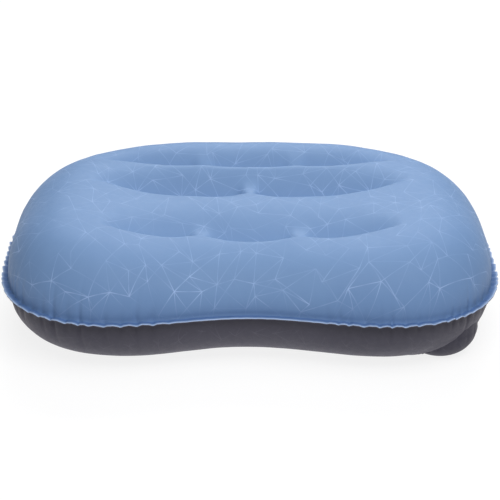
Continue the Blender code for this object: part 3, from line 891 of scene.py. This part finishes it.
def printed_fabric(name, base, deep, line_colour, line_share, edge_highlight_colour, edge_highlight_share, seam_shade_colour,
                   roughness, corner, line):
    """Coated woven fabric: mottled and printed, with painted shade that darkens it near the seam, and on the
    flange a paler cut edge with a painted highlight.
    """
    shader = Shader(name)
    place = shader.place()
    mottled = shader.mix(shader.noise(place, 55, 4, 0.6), base, deep)
    lines = print_lines(shader, corner, line)
    worn = shader.ramp(shader.noise(place, 32, 3), 0.30, 0.58, 0.40, 1.0)
    facing = shader.node("ShaderNodeSeparateXYZ")
    shader.tree.links.new(shader.node("ShaderNodeNewGeometry").outputs["Normal"], facing.inputs[0])
    faint = shader.ramp(facing.outputs["Z"], 0.55, 0.98, 1.0, 0.45)  # painted light: the print fades where the fabric faces up, as the top light washes it out
    highlight_and_shade = shader.node("ShaderNodeSeparateXYZ")
    shader.tree.links.new(shader.attribute("rim"), highlight_and_shade.inputs[0])
    # The print fades by the seam, under the painted shade there.
    by_seam = shader.ramp(highlight_and_shade.outputs["Y"], 0.25, 0.65, 1.0, 0.3)
    faint = shader.math("MULTIPLY", faint, by_seam)
    drawn = shader.math("MULTIPLY", shader.math("MULTIPLY", lines, worn), faint)
    share = shader.math("MULTIPLY", drawn, line_share)
    printed = shader.mix(share, mottled, line_colour)
    # Painted shade: the seam's darker colour, mixed in near the weld and on the flange.
    seam_shaded = shader.mix(shader.math("MULTIPLY", highlight_and_shade.outputs["Y"], 0.58, clamp=True), printed, seam_shade_colour)
    # Painted highlight along the flange's cut edge, on top of a cut edge that is paler too.
    edge = shader.math("MULTIPLY", highlight_and_shade.outputs["X"], edge_highlight_share)
    shader.link(shader.mix(edge, seam_shaded, edge_highlight_colour), "Base Color")
    rough = shader.ramp(shader.noise(place, 240, 3), 0.25, 0.75, roughness - 0.06, roughness + 0.06)
    shader.link(rough, "Roughness")
    grain = shader.noise(place, 900, 2)
    height = shader.math("ADD", weave(shader, 480), shader.math("MULTIPLY", grain, 1.2))
    shader.bump(height, 0.00006, 0.5)
    return shader


def plain_material(name, first, second, roughness, scale, depth):
    """Moulded or cast plastic: slight cloudiness of colour, uneven gloss and a fine skin."""
    shader = Shader(name)
    place = shader.place()
    shader.link(shader.mix(shader.noise(place, 120, 3, 0.6), first, second), "Base Color")
    rough = shader.ramp(shader.noise(place, 400, 3), 0.3, 0.7, roughness - 0.05, roughness + 0.07)
    shader.link(rough, "Roughness")
    shader.bump(shader.noise(place, scale, 3, 0.6), depth, 0.6)
    return shader


def foam_material():
    """Open-cell foam: pale, matt, with pores whose insides are painted darker as shade."""
    shader = Shader("open_cell_foam").set(Roughness=0.95, Specular_IOR_Level=0.1)
    cells = shader.node("ShaderNodeTexVoronoi", feature="DISTANCE_TO_EDGE")
    shader.tree.links.new(shader.place(), cells.inputs["Vector"])
    cells.inputs["Scale"].default_value = 1100
    # Painted shade: each pore's sunken inside is darker than its pale walls.
    walls = shader.ramp(cells.outputs["Distance"], 0.02, 0.30)
    shader.link(shader.mix(walls, linear(206, 203, 194), linear(150, 146, 136)), "Base Color")
    shader.bump(shader.math("SUBTRACT", 1.0, walls), 0.0003, 0.8)
    return shader


# ---- Materials, pieces and stage -----------------------------------------------------------

corner_group = network_point_group()
line_group = network_line_group()
# Each fabric's last colour is its painted shade near the seam; the one before it is the flange's paler cut
# edge with a painted highlight.
blue = printed_fabric("blue_printed_fabric", linear(116, 147, 188), linear(110, 141, 183),
                      linear(164, 188, 228), 0.95, linear(190, 208, 238), 0.75, linear(74, 104, 152), 0.56,
                      corner_group, line_group)
blue.set(Sheen_Weight=0.05, Sheen_Roughness=0.40, Sheen_Tint=linear(200, 215, 245), Specular_IOR_Level=0.18)
grey = printed_fabric("grey_printed_fabric", linear(68, 67, 80), linear(63, 61, 75),
                      linear(112, 110, 124), 0.30, linear(96, 94, 108), 0.4, linear(40, 38, 48), 0.60,
                      corner_group, line_group)
grey.set(Sheen_Weight=0.25, Sheen_Roughness=0.5, Sheen_Tint=linear(200, 195, 205), Specular_IOR_Level=0.3)
# The pump's fabric is a darker copy of the lower panel's grey: painted shade for the dome, which faces down.
pouch = printed_fabric("shaded_grey_pump_fabric", linear(59, 58, 70), linear(55, 53, 66),
                       linear(98, 96, 110), 0.25, linear(96, 94, 108), 0.4, linear(40, 38, 48), 0.64,
                       corner_group, line_group)
pouch.set(Sheen_Weight=0.15, Sheen_Roughness=0.5, Sheen_Tint=linear(200, 195, 205), Specular_IOR_Level=0.25)

upper = build_panel("upper_fabric_panel", "upper_panel", upper_z, 1)
upper.data.materials.append(blue.material)
lower = build_panel("lower_fabric_panel", "lower_panel", lower_z, -1)
lower.data.materials.append(grey.material)
build_dome().data.materials.append(pouch.material)

foam = foam_material()
build_foam().data.materials.append(foam.material)
moulding = plain_material("moulded_plastic", linear(44, 44, 50), linear(52, 52, 58), 0.42, 700, 0.00003)
build_strap().data.materials.append(moulding.material)
silicone = plain_material("soft_silicone", linear(196, 199, 203), linear(206, 208, 211), 0.38, 300, 0.00001)
silicone.set(Subsurface_Weight=0.15, Subsurface_Scale=0.002, Subsurface_Radius=(1.0, 1.0, 1.0))
film = plain_material("baffle_film", linear(205, 208, 212), linear(196, 199, 204), 0.34, 90, 0.00004)
film.set(Coat_Weight=0.2, Coat_Roughness=0.2)
cup = plain_material("dark_coated_film", linear(58, 57, 68), linear(52, 51, 62), 0.50, 300, 0.00004)
SHOWN_AS_BUILT = {
    moulding: ("intake_valve_body", "transfer_valve_body", "release_valve_body", "release_cap"),
    silicone: ("release_seal", "intake_flap", "transfer_flap"),
    cup: ("pump_base",),
}
for shader, nodes in SHOWN_AS_BUILT.items():
    for node in nodes:
        data = NODES[node].data
        data.materials.clear()
        data.materials.append(shader.material)

bpy.context.view_layer.update()
graph = bpy.context.evaluated_depsgraph_get()
upper_tree, lower_tree = BVHTree.FromObject(upper, graph), BVHTree.FromObject(lower, graph)
for row, (row_y, strips) in BAFFLE_ROWS.items():
    for side, (start, end) in strips.items():
        strip = build_baffle(f"baffle_{row}_{side}", row_y, start, end, upper_tree, lower_tree)
        strip.data.materials.append(film.material)


def stage():
    """White floor, which also emits, so that it renders as white as the photo's ground."""
    mesh = bpy.data.meshes.new("floor")
    corners = [(x, y, 0) for x, y in ((-1, -1), (1, -1), (1, 1), (-1, 1))]
    mesh.from_pydata([(x * FLOOR_HALF, y * FLOOR_HALF, z) for x, y, z in corners], [], [(0, 1, 2, 3)])
    floor = bpy.data.objects.new("floor", mesh)
    floor.location.z = -FLOOR_GAP
    bpy.context.scene.collection.objects.link(floor)
    shader = Shader("white_floor")
    shader.set(Base_Color=(0.18, 0.18, 0.183, 1), Roughness=0.9, Specular_IOR_Level=0.1)
    shader.set(Emission_Color=(1, 1, 1, 1), Emission_Strength=0.84)
    mesh.materials.append(shader.material)


def softbox(name, at, power):
    """Rectangular light that faces the middle of the object."""
    light = bpy.data.lights.new(name, "AREA")
    light.shape = "RECTANGLE"
    light.size, light.size_y = SOFTBOX_SIZE
    light.energy = power
    thing = bpy.data.objects.new(name, light)
    thing.location = at
    thing.rotation_euler = (-Vector(at)).to_track_quat("-Z", "Y").to_euler()
    bpy.context.scene.collection.objects.link(thing)


def world(strength):
    sky = bpy.data.worlds.new("studio")
    sky.use_nodes = True
    sky.node_tree.nodes["Background"].inputs["Color"].default_value = (1, 1, 1, 1)
    sky.node_tree.nodes["Background"].inputs["Strength"].default_value = strength
    bpy.context.scene.world = sky


def camera():
    """The photograph's view."""
    yaw, elevation, roll = (math.radians(angle) for angle in CAMERA_ANGLES)
    target = Vector(CAMERA_TARGET)
    level = math.cos(elevation)
    back = Vector((math.sin(yaw) * level, -math.cos(yaw) * level, math.sin(elevation)))
    right = Vector((math.cos(yaw), math.sin(yaw), 0))
    up = back.cross(right)
    right, up = right * math.cos(roll) + up * math.sin(roll), up * math.cos(roll) - right * math.sin(roll)
    data = bpy.data.cameras.new("camera")
    data.lens = CAMERA_LENS
    data.sensor_width = 36
    thing = bpy.data.objects.new("camera", data)
    turn = Matrix((right, up, back)).transposed().to_4x4()
    thing.matrix_world = Matrix.Translation(target + back * CAMERA_DISTANCE) @ turn
    bpy.context.scene.collection.objects.link(thing)
    bpy.context.scene.camera = thing


stage()
world(0.11)
softbox("softbox_behind", (0.12, 1.08, 1.00), 16.8)
softbox("softbox_before", (0.20, -0.70, 1.20), 14.3)
softbox("softbox_above", (0.0, 0.0, 1.50), 3)
camera()
bpy.context.scene.view_settings.view_transform = "Standard"
